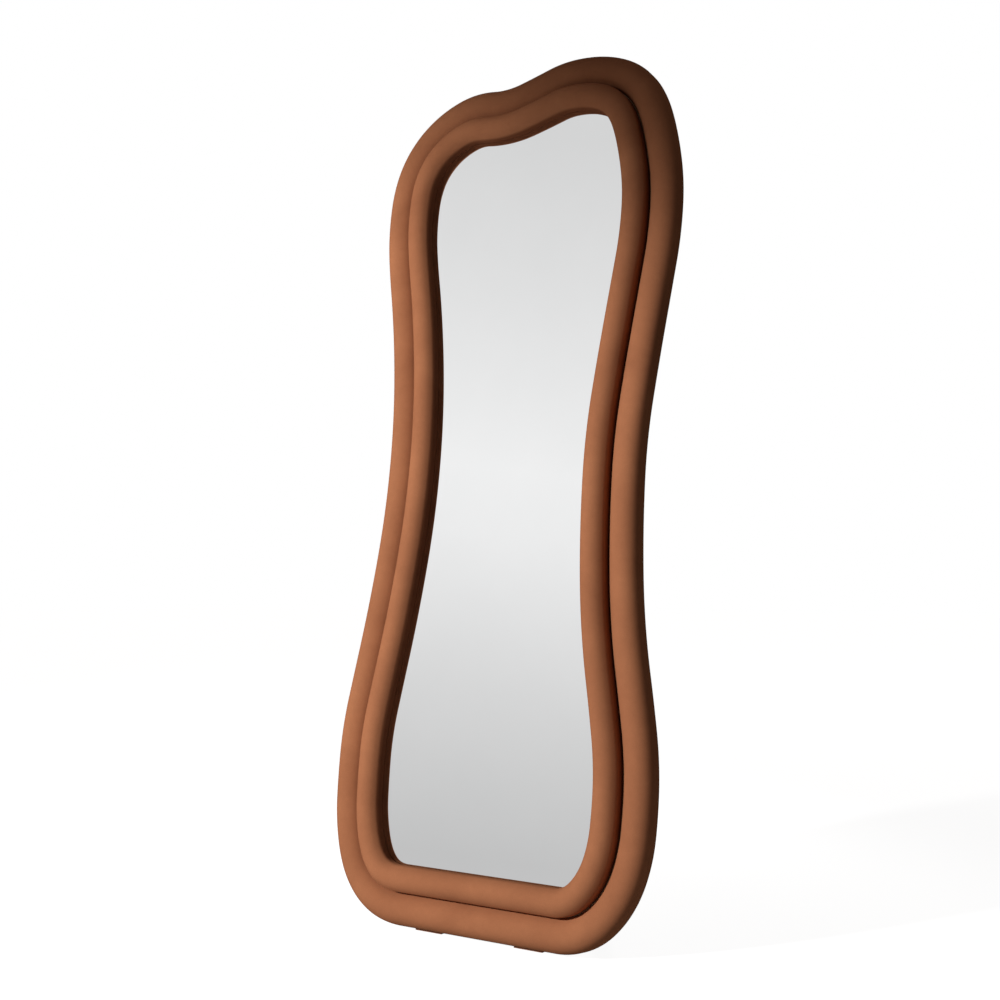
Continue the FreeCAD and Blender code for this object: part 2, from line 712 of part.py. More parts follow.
leg = leg_core(TUBE_R, 0).cut(leg_core(TUBE_R - TUBE_WALL, CUT_OVER))
bores = []
bushings = []
caps = []
sleeves = []
for sx in (-1, 1):
    x = sx * LEG_HALF_W
    bores.append(rod(Vector(x - EAR_IN, 0, 0), RIGHT, BUSHING_R + GRIP_GAP, 2 * EAR_IN))
    start = Vector(x - TUBE_R - BUSHING_PROUD, 0, 0)
    length = 2 * (TUBE_R + BUSHING_PROUD)
    bush = rod(start, RIGHT, BUSHING_R, length)
    eye = rod(start - RIGHT * CUT_OVER, RIGHT, BOLT_R + BUSHING_GAP, length + 2 * CUT_OVER)
    bushings.append(bush.cut(eye))
    cap = rod(Vector(x, 0, HEEL_END), DOWN, CAP_R, CAP_L)
    caps.append(cap.cut(rod(Vector(x, 0, HEEL_L), DOWN, TUBE_R + GRIP_GAP, CAP_L)))
    sleeve = rod(Vector(sx * SLEEVE_X - SLEEVE_L / 2, 0, -LEG_L), RIGHT, SLEEVE_R, SLEEVE_L)
    bore = rod(Vector(sx * SLEEVE_X - SLEEVE_L, 0, -LEG_L), RIGHT, TUBE_R + GRIP_GAP, 2 * SLEEVE_L)
    sleeves.append(sleeve.cut(bore))
nodes["easel_leg"] = opened(leg.cut(bores))
nodes["pivot_bushings"] = opened(group(bushings))
nodes["leg_heel_caps"] = opened(group(caps))
nodes["leg_floor_sleeves"] = opened(group(sleeves))

# Foot pads, cut level with the floor
floor_corner = Vector(-MIRROR_W / 2, -MIRROR_W / 2, -PAD_H - MIRROR_W)
floor_box = Part.makeBox(MIRROR_W, MIRROR_W, MIRROR_W, floor_corner)
floor_box.rotate(ORIGIN, RIGHT, LEAN_DEG)
pad_tools = [sunk_screw(p, DOWN, PAD_HEAD_R, PAD_SHANK_R, PAD_SCREW_L, SCREW_GAP, False)
             for p in pad_screw_at]
pad_tools += [rod(p, DOWN, PAD_HEAD_R + SCREW_GAP, CUT_OVER) for p in pad_screw_at]


def foot_pad(x):
    corner = Vector(x - PAD_L / 2, -PAD_Y0 - PAD_W, -PAD_H * 2)
    box = Part.makeBox(PAD_L, PAD_W, PAD_H * 2, corner)
    return box.cut(floor_box).cut(pad_tools)


nodes["foot_pad_left"] = foot_pad(-PAD_X)
nodes["foot_pad_right"] = foot_pad(PAD_X)
nodes["foot_pad_screws"] = group([sunk_screw(p, DOWN, PAD_HEAD_R, PAD_SHANK_R, PAD_SCREW_L, 0, True)
                                  for p in pad_screw_at])


# D-rings on their plates
def ring_plate(x):
    strap = round_plate(x - STRAP_W / 2, x + STRAP_W / 2, PANEL_T, PANEL_T + STRAP_T,
                        RING_Z, RING_Z + STRAP_H, STRAP_CORNER_R)
    p = Vector(x - STRAP_W / 2, RING_Y, RING_Z)
    foot = Part.makeBox(STRAP_W, STRAP_T, STRAP_H / 2, Vector(x - STRAP_W / 2, PANEL_T, RING_Z))
    barrel = rod(p, RIGHT, BARREL_R, STRAP_W)
    bore = rod(p - RIGHT * CUT_OVER, RIGHT, RING_WIRE_R + RING_GAP, STRAP_W + 2 * CUT_OVER)
    return strap.fuse(foot).fuse(barrel).cut([bore] + strap_holes).removeSplitter()


def d_ring(x):
    bar = rod(Vector(-RING_BAR / 2, 0, 0), RIGHT, RING_WIRE_R, RING_BAR)
    centre = Vector(0, 0, -RING_DROP)
    tip = Vector(RING_BAR / 2, 0, 0)
    lean_in = math.atan2(RING_BAR / 2, RING_DROP)
    along = (tip - centre).cross(BACK)
    wire = Part.Face(Part.Wire(Part.makeCircle(RING_WIRE_R, tip, along)))
    bow = wire.revolve(centre, BACK, 360 - 2 * math.degrees(lean_in))
    balls = [Part.makeSphere(RING_WIRE_R, Vector(s * RING_BAR / 2, 0, 0)) for s in (-1, 1)]
    ring = bar.fuse([bow] + balls)
    ring.rotate(ORIGIN, RIGHT, LEAN_DEG)
    ring.translate(Vector(x, RING_Y, RING_Z))
    return ring


nodes["ring_plate_left"] = ring_plate(-RING_X)
nodes["ring_plate_right"] = ring_plate(RING_X)
nodes["ring_plate_screws"] = group([pan_screw(p, BACK, STRAP_HEAD_R, STRAP_HEAD_H,
                                              STRAP_SHANK_R, STRAP_SCREW_L)
                                    for p in strap_at])
nodes["d_ring_left"] = d_ring(-RING_X)
nodes["d_ring_right"] = d_ring(RING_X)

# Lean back, then put the middle of the footprint at the origin with the floor at Z 0
box = FreeCAD.BoundBox()
for shape in nodes.values():
    shape.rotate(ORIGIN, RIGHT, -LEAN_DEG)
    box.add(shape.optimalBoundingBox(False, False))
shift = Vector(-(box.XMin + box.XMax) / 2, -(box.YMin + box.YMax) / 2, PAD_H)
for name, shape in nodes.items():
    shape.translate(shift)
    shape.exportStep("parts/" + name + ".step")
    print(name, len(shape.Solids), len(shape.Faces), shape.isValid(), round(shape.Volume))


def settled(p):
    turn = FreeCAD.Rotation(RIGHT, -LEAN_DEG)
    return turn.multVec(p) + shift


print("box", box, "floor", box.ZMin + PAD_H)
print("leg pivot", settled(Vector(0, PIVOT_Y, PIVOT_Z)), "open", OPEN_DEG)
print("rings", settled(Vector(-RING_X, RING_Y, RING_Z)), settled(Vector(RING_X, RING_Y, RING_Z)))
print("rail", RAIL_L, "screws", RAIL_SCREW_X, "ring x", RING_X, "pad x", PAD_X)
print("pads", settled(Vector(-PAD_X, pad_y, pad_low)), settled(Vector(PAD_X, pad_y, pad_low)))
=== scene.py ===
import json
import math

import bpy
import numpy as np
from mathutils import Matrix, Vector, noise

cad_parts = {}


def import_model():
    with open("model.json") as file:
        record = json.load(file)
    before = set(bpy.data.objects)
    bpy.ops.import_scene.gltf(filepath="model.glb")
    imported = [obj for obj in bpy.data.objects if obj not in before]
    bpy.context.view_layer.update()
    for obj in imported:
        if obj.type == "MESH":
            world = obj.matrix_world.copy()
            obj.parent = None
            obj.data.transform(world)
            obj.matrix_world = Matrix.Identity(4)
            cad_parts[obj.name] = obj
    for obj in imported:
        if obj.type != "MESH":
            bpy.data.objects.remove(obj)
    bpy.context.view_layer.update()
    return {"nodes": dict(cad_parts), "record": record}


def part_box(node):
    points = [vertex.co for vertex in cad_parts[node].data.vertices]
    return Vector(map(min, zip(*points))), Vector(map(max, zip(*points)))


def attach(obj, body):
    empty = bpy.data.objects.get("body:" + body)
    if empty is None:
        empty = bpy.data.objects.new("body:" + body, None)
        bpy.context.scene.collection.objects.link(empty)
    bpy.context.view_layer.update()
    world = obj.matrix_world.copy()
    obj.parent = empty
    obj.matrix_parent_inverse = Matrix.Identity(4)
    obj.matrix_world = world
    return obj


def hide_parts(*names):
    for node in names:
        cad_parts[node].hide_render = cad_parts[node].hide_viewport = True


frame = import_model()

# Sizes that the soft pieces share with the solids, in metres; insets run inward from the outer edge
MIRROR_H = 1.700
MIRROR_W = 0.700
LEAN = math.radians(7.0)
PAD_H = 0.0025
PANEL_INSET = 0.016
OUTER_BEAD_W = 0.062
INNER_BEAD_W = 0.050
GROOVE_GAP = 0.0009
OUTER_RISE = 0.027
INNER_SPRING_H = 0.0335
INNER_RISE = 0.0215
INNER_SHOULDER_R = 0.016
BASE_T = 0.015
LIP_H = 0.0204
COVER_T = 0.0012
COVER_BEND_R = 0.0017
COVER_TURN_W = 0.022
FLANGE_H = 0.0007
SOFT_GAP = 0.0009
POCKET_INSET = 0.098
BACKING_INSET = 0.101
BACKING_T = 0.0139
OUTER_CORE = (0.011, 0.047, 0.030)
INNER_CORE = (0.070, 0.104, 0.035)

FRAME_W = OUTER_BEAD_W + INNER_BEAD_W
OUTER_END = OUTER_BEAD_W - GROOVE_GAP / 2
INNER_START = OUTER_BEAD_W + GROOVE_GAP / 2
GLASS_FRONT = LIP_H - COVER_T
SIGHT_W = MIRROR_W - 2 * FRAME_W
SIGHT_H = MIRROR_H - 2 * FRAME_W

# Sight edge, round the open glass: share of its half width, share of its height, heading there
SIGHT_EDGE_SHARES = (
    (-0.723, 0.0000, 0),
    (0.723, 0.0000, 0),
    (0.836, 0.0075, 44),
    (0.954, 0.0396, 73),
    (1.000, 0.1107, 90),
    (0.894, 0.2425, 101),
    (0.762, 0.4977, 90),
    (0.890, 0.7144, 82),
    (0.976, 0.8478, 90),
    (0.894, 0.9388, 105),
    (0.812, 0.9734, 120),
    (0.701, 0.9904, 154),
    (0.421, 1.0000, 180),
    (0.195, 0.9930, 194),
    (0.026, 0.9865, 193),
    (-0.450, 0.9846, 170),
    (-0.724, 0.9740, 211),
    (-0.914, 0.9361, 252),
    (-0.951, 0.8870, 270),
    (-0.882, 0.7955, 281),
    (-0.722, 0.5392, 270),
    (-0.894, 0.2611, 260),
    (-1.000, 0.1291, 270),
    (-0.946, 0.0349, 286),
    (-0.859, 0.0079, 314),
)

# How finely the beads are meshed: stations round the frame, then points along each run of a section
STATIONS = 720
ARC_STEPS = 120
RISE_STEPS = 18
FALL_STEPS = 22
SHOULDER_STEPS = 12
CROWN_STEPS = 15
HEM_STEPS = 6
BEND_STEPS = 5
SIDE_STEPS = 5
INNER_WALL_STEPS = 6
LIP_STEPS = 4
FOAM_WALL_STEPS = 5
FOAM_SIDE_STEPS = 4
FOAM_FLOOR_STEPS = 6
SHARP_DEG = 38

# How the padding fills the velvet, and how the velvet gives
START_INSIDE = 0.0012
MOST_SWELL = 0.0022
FREE_GAIN = 2.2
HELD_BELOW = 0.01
STUFFING_WAVE = 0.11
LEAST_PUSH = 0.5
SIM_FRAMES = 16
CLOTH_QUALITY = 6
CLOTH_MASS = 0.3
CLOTH_STRETCH = 60
CLOTH_SHEAR = 30
CLOTH_BEND = 4
CLOTH_PRESSURE = 4
BACKING_EDGE = 0.001

# Painted shade: the velvet colour is darkened, as shade, where it runs into the groove and down to
# the glass
SHADE_FROM_INSET = 0.056
SHADE_BELOW_HEIGHT = 0.038
SHADE_FADE_RUN = 0.008
PAINTED_SHADE_TONE = (0.60, 0.53, 0.52, 1)

# Light: a soft-edged beam from the left front that leaves the top right dim, a weaker one on the back
KEY_AT = (-1.357, -3.326, 1.505)
KEY_AIM = (-1.286, -0.10, -0.50)
KEY_CONE = 82.2
KEY_BLEND = 0.327
KEY_RADIUS = 0.13
KEY_WATTS = 500
BACK_LAMP_AT = (-1.9, 3.3, 0.75)
BACK_LAMP_AIM = (0, 0, 0.75)
BACK_LAMP_CONE = 50
BACK_LAMP_BLEND = 0.6
BACK_LAMP_RADIUS = 0.3
BACK_LAMP_WATTS = 420
AMBIENT = 0.11
AMBIENT_TINT = (1, 0.89, 0.85, 1)

# Floor, and the grey of the room in the glass by the height of the view
FLOOR_HALF = 30.0
FLOOR_PALE = 0.35
FLOOR_WHITE = {"From Min": 0.5, "From Max": 4.0, "To Min": 0.90, "To Max": 0.965}
FLOOR_IN_GLASS = 0.57
ROOM_STOPS = ((0.0, 0.57), (0.12, 0.71), (0.24, 0.89), (0.29, 0.92), (0.42, 0.79), (0.52, 0.70))

# Camera, as the photograph was taken
CAMERA_AT = (1.3621, -2.1063, 0.6409)
CAMERA_TURN = 33.583
CAMERA_TILT = 3.917
CAMERA_LENS = 46.43
CAMERA_SENSOR = 36.0


# Outline: tangent arcs through the table's points
def heading(deg):
    a = math.radians(deg)
    return np.array([math.cos(a), math.sin(a)])


def left_of(t):
    return np.stack([-t[..., 1], t[..., 0]], axis=-1)


def turned(v, angle):
    c = np.cos(angle)
    s = np.sin(angle)
    return np.stack([v[0] * c - v[1] * s, v[0] * s + v[1] * c], axis=-1)


def arc_points(p, t, end):
    """Points and headings on the arc that leaves p along t and arrives at end, without its end."""
    v = end - p
    side = t[0] * v[1] - t[1] * v[0]
    share = np.arange(ARC_STEPS) / ARC_STEPS
    if abs(side) < np.linalg.norm(v) * 1e-6:
        return p + v * share[:, None], np.tile(t, (ARC_STEPS, 1)), t
    bend = 2 * side / v.dot(v)
    sweep = 2 * math.atan2(side, t.dot(v))
    centre = p + left_of(t) / bend
    return centre + turned(p - centre, sweep * share), turned(t, sweep * share), turned(t, sweep)


def sight_edge():
    spots = []
    ways = []
    nodes = []
    for sx, sz, deg in SIGHT_EDGE_SHARES:
        nodes.append((np.array([sx * SIGHT_W / 2, FRAME_W + sz * SIGHT_H]), heading(deg)))
    for i, (p1, t1) in enumerate(nodes):
        p2, t2 = nodes[(i + 1) % len(nodes)]
        v = p2 - p1
        along = v.dot(t1 + t2)
        turn = 1 - t1.dot(t2)
        if turn < 1e-9:
            reach = v.dot(v) / (2 * along)
        else:
            reach = (math.sqrt(along ** 2 + 2 * turn * v.dot(v)) - along) / (2 * turn)
        joint = (p1 + p2 + (t1 - t2) * reach) / 2
        p, t, arrived = arc_points(p1, t1, joint)
        spots.append(p)
        ways.append(t)
        p, t, arrived = arc_points(joint, arrived, p2)
        spots.append(p)
        ways.append(t)
    return np.concatenate(spots), np.concatenate(ways)


def stations():
    """Stations spread evenly over the mean of the frame's inner and outer edge."""
    spots, ways = sight_edge()
    outer = spots - left_of(ways) * FRAME_W
    step = np.linalg.norm(np.roll(spots, -1, 0) - spots, axis=1)
    step += np.linalg.norm(np.roll(outer, -1, 0) - outer, axis=1)
    run = np.concatenate([[0], np.cumsum(step)])
    pick = np.searchsorted(run[:-1], np.arange(STATIONS) / STATIONS * run[-1])
    return spots[pick], ways[pick]


EDGE, WAY = stations()
INWARD = left_of(WAY)
BACK_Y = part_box("back_panel")[0].y - PANEL_INSET * math.sin(LEAN)


def leaned(x, y, z):
    """Upright mirror coordinates to the frame's."""
    c = math.cos(LEAN)
    s = math.sin(LEAN)
    return np.stack([x, y * c + z * s + BACK_Y, z * c - y * s + PAD_H], axis=-1)


def swept(profile):
    """Grid of points, station by section point, from a section of (inset, height)."""
    q = profile[None, :, 0] - FRAME_W
    x = EDGE[:, None, 0] + INWARD[:, None, 0] * q
    z = EDGE[:, None, 1] + INWARD[:, None, 1] * q
    return leaned(x, np.broadcast_to(-profile[None, :, 1], x.shape), z)


# Sections
def arc(centre, r, a0, a1, count):
    a = np.radians(np.linspace(a0, a1, count))
    return np.stack([centre[0] + r * np.cos(a), centre[1] + r * np.sin(a)], axis=-1)


def line(p, q, count):
    share = np.linspace(0, 1, count)[:, None]
    return np.array(p) * (1 - share) + np.array(q) * share


def joined(*runs):
    """One run of points, each meeting point kept once."""
    points = [runs[0]]
    for run in runs[1:]:
        points.append(run[1:])
    return np.concatenate(points)


def dome(start, end, spring, rise, shoulder):
    """Over the inner bead: round shoulders and a flatter crown between them."""
    mid = (start + end) / 2
    reach = (end - start) / 2 - shoulder
    lift = rise - shoulder
    drop = (reach ** 2 - lift ** 2) / (2 * lift)
    tip = math.degrees(math.atan2(drop, reach))
    crown = math.hypot(reach, drop) + shoulder
    rising = arc((mid - reach, spring), shoulder, 180, 180 - tip, SHOULDER_STEPS)
    over = arc((mid, spring - drop), crown, 180 - tip, tip, CROWN_STEPS)
    falling = arc((mid + reach, spring), shoulder, tip, 0, SHOULDER_STEPS)
    return joined(rising, over, falling)


def roll(d):
    """Over the outer bead: a quarter round outside, then a longer arc down to the groove."""
    run = OUTER_END - OUTER_RISE
    fall_r = (run ** 2 + OUTER_RISE ** 2) / (2 * OUTER_RISE)
    low = BASE_T + OUTER_RISE - fall_r
    foot = math.degrees(math.asin((BASE_T - low) / (fall_r - d)))
    return joined(arc((OUTER_RISE, BASE_T), OUTER_RISE - d, 180, 90, RISE_STEPS),
                  arc((OUTER_RISE, low), fall_r - d, 90, foot, FALL_STEPS))


def outer_section(d):
    """Outer cover from its turned-in hem to the groove, at a depth below its face."""
    r = COVER_BEND_R - d
    corner = (COVER_BEND_R, FLANGE_H + COVER_BEND_R)
    return joined(line((COVER_TURN_W, FLANGE_H + d), (COVER_BEND_R, FLANGE_H + d), HEM_STEPS),
                  arc(corner, r, 270, 180, BEND_STEPS),
                  line((d, corner[1]), (d, BASE_T), SIDE_STEPS),
                  roll(d))


def inner_section(d):
    """Inner cover from the groove to the lip that lies on the glass, at a depth below its face."""
    r = COVER_BEND_R - d
    corner = (FRAME_W - COVER_BEND_R, GLASS_FRONT + COVER_BEND_R)
    low = INNER_START + d
    high = FRAME_W - d
    hem = (POCKET_INSET + SOFT_GAP, GLASS_FRONT + d)
    return joined(line((low, BASE_T), (low, INNER_SPRING_H), INNER_WALL_STEPS),
                  dome(low, high, INNER_SPRING_H, INNER_RISE - d, INNER_SHOULDER_R - d),
                  line((high, INNER_SPRING_H), (high, corner[1]), INNER_WALL_STEPS),
                  arc(corner, r, 0, -90, BEND_STEPS),
                  line((corner[0], GLASS_FRONT + d), hem, LIP_STEPS))


# Meshes
def add_mesh(name, points, faces):
    mesh = bpy.data.meshes.new(name)
    mesh.from_pydata(points.tolist(), [], faces)
    mesh.validate()
    mesh.polygons.foreach_set("use_smooth", [True] * len(mesh.polygons))
    mesh.set_sharp_from_angle(angle=math.radians(SHARP_DEG))
    obj = bpy.data.objects.new(name, mesh)
    bpy.context.collection.objects.link(obj)
    return obj


def ring_faces(n, m, closed):
    """Quads of a ring of n stations with m section points each."""
    faces = []
    for i in range(n):
        a = i * m
        b = (i + 1) % n * m
        for k in range(m if closed else m - 1):
            after = (k + 1) % m
            faces.append((a + k, b + k, b + after, a + after))
    return faces


def tube_ring(name, grid):
    """Closed ring whose section is closed as well."""
    n, m, _ = grid.shape
    return add_mesh(name, grid.reshape(-1, 3), ring_faces(n, m, True))


# Padding under the velvet: a cloth sheet held at its edges and pushed out unevenly by the foam
def stuffing(grid):
    """How hard the foam pushes at each point, from the least push to 1."""
    push = np.empty(grid.shape[:2])
    for i, row in enumerate(grid):
        for k, p in enumerate(row):
            push[i, k] = 0.5 + 0.5 * noise.noise(Vector(p) / STUFFING_WAVE)
    return LEAST_PUSH + (1 - LEAST_PUSH) * np.clip(push, 0, 1)


def swollen(grid, held):
    """The sheet's points after the stuffing has pushed it out for a few frames."""
    n, m, _ = grid.shape
    sheet = add_mesh("sheet", grid.reshape(-1, 3), ring_faces(n, m, False))
    pins = sheet.vertex_groups.new(name="held")
    pins.add([int(v) for v in np.flatnonzero(np.tile(held, n))], 1.0, "REPLACE")
    push = sheet.vertex_groups.new(name="stuffing")
    for v, weight in enumerate(stuffing(grid).ravel()):
        push.add([v], float(weight), "REPLACE")
    cloth = sheet.modifiers.new("cloth", "CLOTH")
    give = cloth.settings
    give.quality = CLOTH_QUALITY
    give.mass = CLOTH_MASS
    give.tension_stiffness = CLOTH_STRETCH
    give.compression_stiffness = CLOTH_STRETCH
    give.shear_stiffness = CLOTH_SHEAR
    give.bending_stiffness = CLOTH_BEND
    give.use_pressure = True
    give.uniform_pressure_force = CLOTH_PRESSURE
    give.vertex_group_pressure = push.name
    give.vertex_group_mass = pins.name
    give.effector_weights.gravity = 0
    cloth.collision_settings.use_collision = False
    cloth.point_cache.frame_start = 1
    cloth.point_cache.frame_end = SIM_FRAMES
    for f in range(1, SIM_FRAMES + 1):
        bpy.context.scene.frame_set(f)
    result = sheet.evaluated_get(bpy.context.evaluated_depsgraph_get()).to_mesh()
    co = np.empty(n * m * 3)
    result.vertices.foreach_get("co", co)
    bpy.context.scene.frame_set(1)
    bpy.data.objects.remove(sheet)
    return co.reshape(n, m, 3)


def velvet_cover(name, section, free, tuck):
    """Closed velvet shell; free gives, along the section, its give, and the last argument its painted
    shade.
    """
    outside = swept(section(0))
    inside = swept(section(COVER_T))
    inward = inside - outside
    inward /= np.linalg.norm(inward, axis=2, keepdims=True)
    ease = free[None, :, None]
    start = outside + inward * START_INSIDE * ease
    move = swollen(start, free < HELD_BELOW) - start
    far = np.linalg.norm(move, axis=2, keepdims=True)
    face = start + move * np.minimum(1, MOST_SWELL / np.maximum(far, 1e-9))
    lining = face + inward * COVER_T
    obj = tube_ring(name, np.concatenate([face, lining[:, ::-1]], axis=1))
    # A layer of painted shade on the points, darkening the velvet colour
    shade_layer = obj.data.attributes.new("tuck", "FLOAT", "POINT")
    # Painted shade is left off where the inward side faces up, as along the bottom, where light
    # reaches the lip
    shade_kept = np.clip(1 - INWARD[:, 1], 0, 1)
    shade_layer.data.foreach_set("value", np.outer(shade_kept, np.concatenate([tuck, tuck[::-1]])).ravel())
    return obj


def freedom(section, fixed_height):
    """0 where the cover lies against board, glass or its neighbour, rising to 1 over the padding."""
    h = section(0)[:, 1]
    rise = np.clip((h - fixed_height) / (h.max() - fixed_height), 0, 1)
    return np.minimum(1, FREE_GAIN * rise)


# Painted shade along the section: the outer bead's groove side, and the inner bead's low walls by the
# groove and by the glass
outer_shade_mask = np.clip((outer_section(0)[:, 0] - SHADE_FROM_INSET) / SHADE_FADE_RUN, 0, 1)
inner_shade_mask = np.clip((SHADE_BELOW_HEIGHT - inner_section(0)[:, 1]) / SHADE_FADE_RUN, 0, 1)
outer_free = freedom(outer_section, BASE_T)
inner_free = freedom(inner_section, INNER_SPRING_H)
outer_bead = velvet_cover("outer_bead", outer_section, outer_free, outer_shade_mask)
inner_bead = velvet_cover("inner_bead", inner_section, inner_free, inner_shade_mask)


# Foam under the covers, cut square round the boards
def foam_ring(name, crown, core):
    low, high, top = core
    low -= SOFT_GAP
    high += SOFT_GAP
    cut = joined(line((high, crown[-1, 1]), (high, top), FOAM_SIDE_STEPS),
                 line((high, top), (low, top), FOAM_FLOOR_STEPS),
                 line((low, top), (low, crown[0, 1]), FOAM_SIDE_STEPS))
    return tube_ring(name, swept(np.concatenate([crown, cut])))


def inner_foam_crown(d):
    """Face of the inner foam, at a depth below the cover's face."""
    low = INNER_START + d
    high = FRAME_W - d
    return joined(line((low, BASE_T), (low, INNER_SPRING_H), FOAM_WALL_STEPS),
                  dome(low, high, INNER_SPRING_H, INNER_RISE - d, INNER_SHOULDER_R - d),
                  line((high, INNER_SPRING_H), (high, LIP_H), FOAM_WALL_STEPS))


outer_foam = foam_ring("outer_padding", roll(COVER_T + SOFT_GAP), OUTER_CORE)
inner_foam = foam_ring("inner_padding", inner_foam_crown(COVER_T + SOFT_GAP), INNER_CORE)


def backing_sheet():
    """Foam sheet behind the glass, with softened edges."""
    edge = BACKING_EDGE
    section = np.array([(BACKING_INSET + edge, 0), (BACKING_INSET, edge),
                        (BACKING_INSET, BACKING_T - edge), (BACKING_INSET + edge, BACKING_T)])
    grid = swept(section)
    n, m, _ = grid.shape
    faces = ring_faces(n, m, False)
    faces.append(tuple(i * m for i in range(n)))
    faces.append(tuple(i * m + m - 1 for i in reversed(range(n))))
    return add_mesh("backing_sheet", grid.reshape(-1, 3), faces)


backing = backing_sheet()


# Materials
class Look:
    """A node material round one Principled shader."""

    def __init__(self, name):
        self.mat = bpy.data.materials.new(name)
        self.mat.use_nodes = True
        self.tree = self.mat.node_tree
        self.shader = self.tree.nodes["Principled BSDF"]
        self.coords = self.tree.nodes.new("ShaderNodeTexCoord").outputs["Object"]

    def set(self, **values):
        for key, value in values.items():
            self.shader.inputs[key.replace("_", " ")].default_value = value

    def link(self, a, b):
        self.tree.links.new(a, b)

    def stretched(self, scale):
        """Object coordinates stretched along the axes."""
        node = self.tree.nodes.new("ShaderNodeMapping")
        node.inputs["Scale"].default_value = scale
        self.link(self.coords, node.inputs["Vector"])
        return node.outputs["Vector"]

    def noise(self, scale, detail=3, rough=0.5, vector=None, distortion=0.0):
        node = self.tree.nodes.new("ShaderNodeTexNoise")
        node.inputs["Scale"].default_value = scale
        node.inputs["Detail"].default_value = detail
        node.inputs["Roughness"].default_value = rough
        node.inputs["Distortion"].default_value = distortion
        self.link(vector or self.coords, node.inputs["Vector"])
        return node.outputs["Fac"]

    def cells(self, scale):
        node = self.tree.nodes.new("ShaderNodeTexVoronoi")
        node.inputs["Scale"].default_value = scale
        self.link(self.coords, node.inputs["Vector"])
        return node.outputs["Distance"]

    def attribute(self, name):
        node = self.tree.nodes.new("ShaderNodeAttribute")
        node.attribute_name = name
        return node.outputs["Fac"]

    def ramp(self, fac, *stops):
        node = self.tree.nodes.new("ShaderNodeValToRGB")
        ramp = node.color_ramp
        while len(ramp.elements) < len(stops):
            ramp.elements.new(1.0)
        for element, (place, value) in zip(ramp.elements, stops):
            element.position = place
            colour = value if isinstance(value, tuple) else (value,) * 3
            element.color = (*colour, 1)
        self.link(fac, node.inputs["Fac"])
        return node.outputs["Color"]

    def mix(self, fac, a, b, kind="MIX"):
        node = self.tree.nodes.new("ShaderNodeMix")
        node.data_type = "RGBA"
        node.blend_type = kind
        for value, key in ((fac, 0), (a, 6), (b, 7)):
            if isinstance(value, bpy.types.NodeSocket):
                self.link(value, node.inputs[key])
            else:
                node.inputs[key].default_value = value
        return node.outputs[2]

    def colour(self, socket):
        self.link(socket, self.shader.inputs["Base Color"])

    def roughness(self, fac, low, high):
        node = self.tree.nodes.new("ShaderNodeMapRange")
        node.inputs["To Min"].default_value = low
        node.inputs["To Max"].default_value = high
        self.link(fac, node.inputs["Value"])
        self.link(node.outputs["Result"], self.shader.inputs["Roughness"])

    def bump(self, *layers):
        """Bump layers, each (height socket, strength, depth in metres)."""
        normal = None
        for height, strength, depth in layers:
            node = self.tree.nodes.new("ShaderNodeBump")
            node.inputs["Strength"].default_value = strength
            node.inputs["Distance"].default_value = depth
            self.link(height, node.inputs["Height"])
            if normal:
                self.link(normal, node.inputs["Normal"])
            normal = node.outputs["Normal"]
        self.link(normal, self.shader.inputs["Normal"])


def velvet():
    look = Look("velvet")
    brushed = look.noise(7, 2, 0.5, distortion=0.6)
    nap = look.noise(70, 3, 0.6)
    pile = look.noise(1100, 2, 0.6)
    tone = look.ramp(brushed, (0.3, (0.400, 0.154, 0.073)), (0.7, (0.480, 0.190, 0.090)))
    tone = look.mix(0.35, tone, look.ramp(nap, (0.25, 0.82), (0.75, 1.0)), "MULTIPLY")
    tone = look.mix(0.5, tone, look.ramp(pile, (0.3, 0.72), (0.7, 1.0)), "MULTIPLY")
    # Painted shade: the velvet colour is darkened where the painted shade layer marks the groove and
    # the lip
    look.colour(look.mix(look.attribute("tuck"), tone, PAINTED_SHADE_TONE, "MULTIPLY"))
    look.roughness(nap, 0.84, 0.96)
    look.set(Specular_IOR_Level=0.0, Sheen_Weight=0.08, Sheen_Roughness=0.45,
             Sheen_Tint=(1.0, 0.45, 0.24, 1))
    look.bump((pile, 0.12, 0.0004), (nap, 0.05, 0.001))
    return look.mat


def foam():
    look = Look("foam")
    pores = look.cells(700)
    tone = look.ramp(look.noise(40, 3), (0.3, (0.66, 0.60, 0.44)), (0.7, (0.78, 0.73, 0.58)))
    look.colour(look.mix(0.5, tone, look.ramp(pores, (0.1, 0.55), (0.5, 1.0)), "MULTIPLY"))
    look.roughness(pores, 0.85, 1.0)
    look.bump((pores, 0.6, 0.001))
    return look.mat


def plywood():
    look = Look("plywood")
    grain = look.noise(9, 6, 0.62, look.stretched((9, 9, 0.9)), 0.5)
    fibre = look.noise(260, 3, 0.6, look.stretched((1, 1, 0.06)))
    tone = look.ramp(grain, (0.3, (0.42, 0.27, 0.14)), (0.5, (0.56, 0.39, 0.22)),
                     (0.72, (0.66, 0.49, 0.30)))
    look.colour(look.mix(0.4, tone, look.ramp(fibre, (0.3, 0.75), (0.7, 1.0)), "MULTIPLY"))
    look.roughness(fibre, 0.6, 0.82)
    look.bump((fibre, 0.25, 0.0004))
    return look.mat


def black_board():
    look = Look("black_board")
    fibre = look.noise(520, 4, 0.7)
    rub = look.noise(11, 5, 0.66, distortion=0.8)
    tone = look.ramp(fibre, (0.3, (0.016, 0.016, 0.017)), (0.7, (0.030, 0.030, 0.032)))
    look.colour(look.mix(look.ramp(rub, (0.5, 0.0), (0.85, 0.16)), tone, (0.085, 0.083, 0.08, 1)))
    look.roughness(rub, 0.5, 0.74)
    look.set(Specular_IOR_Level=0.35)
    look.bump((fibre, 0.3, 0.0003))
    return look.mat


